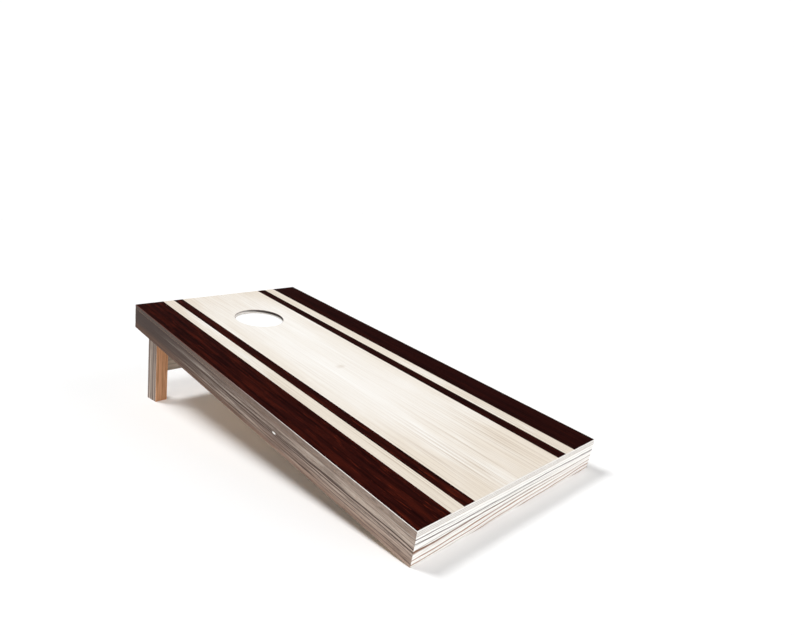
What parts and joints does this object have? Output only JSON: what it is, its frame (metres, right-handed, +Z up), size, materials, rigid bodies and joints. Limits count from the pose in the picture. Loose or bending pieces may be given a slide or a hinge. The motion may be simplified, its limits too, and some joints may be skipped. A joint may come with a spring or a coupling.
{
  "type": "cornhole board",
  "caption": "Sloped plywood lawn-game board with a round bag hole, a mitred wooden rail frame, and folding legs joined by a crossbar.",
  "frame": {"origin": "on the floor, under the middle of the standing board's box", "axes": "+Z up, +Y from the low foot end to the high head end, +X to the right as the player sees it from the foot"},
  "size_m": [0.6096, 1.211, 0.31],
  "materials": {
    "printed_ply": "whitewashed and mahogany stripes under satin varnish",
    "rail_wood": "weathered grey-brown long grain, satin",
    "block_wood": "bare pine",
    "leg_wood": "grey-brown faces and tan edges, satin",
    "dowel_wood": "bare hardwood",
    "zinc_steel": "zinc plated",
    "insert_brass": "plain brass"
  },
  "bodies": {
    "board": {"deck_panel": "printed_ply", "foot_rail": "rail_wood", "head_rail": "rail_wood", "side_rail_left": "rail_wood", "side_rail_right": "rail_wood", "centre_brace": "block_wood", "foot_block_left": "block_wood", "foot_block_right": "block_wood", "head_block_left": "block_wood", "head_block_right": "block_wood", "pivot_bolt_left": "zinc_steel", "pivot_bolt_right": "zinc_steel", "head_washer_left": "zinc_steel", "head_washer_right": "zinc_steel", "spacer_washer_left": "zinc_steel", "spacer_washer_right": "zinc_steel", "threaded_insert_left": "insert_brass", "threaded_insert_right": "insert_brass", "foot_block_left_side_screw": "zinc_steel", "foot_block_left_end_screw": "zinc_steel", "foot_block_right_side_screw": "zinc_steel", "foot_block_right_end_screw": "zinc_steel", "head_block_left_side_screw": "zinc_steel", "head_block_left_end_screw": "zinc_steel", "head_block_right_side_screw": "zinc_steel", "head_block_right_end_screw": "zinc_steel", "brace_screw_left_lower": "zinc_steel", "brace_screw_left_upper": "zinc_steel", "brace_screw_right_lower": "zinc_steel", "brace_screw_right_upper": "zinc_steel", "deck_screw_brace_left": "zinc_steel", "deck_screw_brace_right": "zinc_steel", "deck_screw_foot_left": "zinc_steel", "deck_screw_foot_right": "zinc_steel", "deck_screw_head_left": "zinc_steel", "deck_screw_head_right": "zinc_steel", "deck_screw_left_foot": "zinc_steel", "deck_screw_left_middle": "zinc_steel", "deck_screw_left_head": "zinc_steel", "deck_screw_right_foot": "zinc_steel", "deck_screw_right_middle": "zinc_steel", "deck_screw_right_head": "zinc_steel"},
    "leg_frame": {"leg_left": "leg_wood", "leg_right": "leg_wood", "leg_crossbar": "leg_wood", "crossbar_dowel_left_lower": "dowel_wood", "crossbar_dowel_left_upper": "dowel_wood", "crossbar_dowel_right_lower": "dowel_wood", "crossbar_dowel_right_upper": "dowel_wood"}
  },
  "joints": [
    {"name": "leg_fold", "type": "hinge", "parent": "board", "child": "leg_frame", "pos_m": [0, 0.51332, 0.24943], "axis": [-1, 0, 0], "range_deg": [0, 90]}
  ]
}
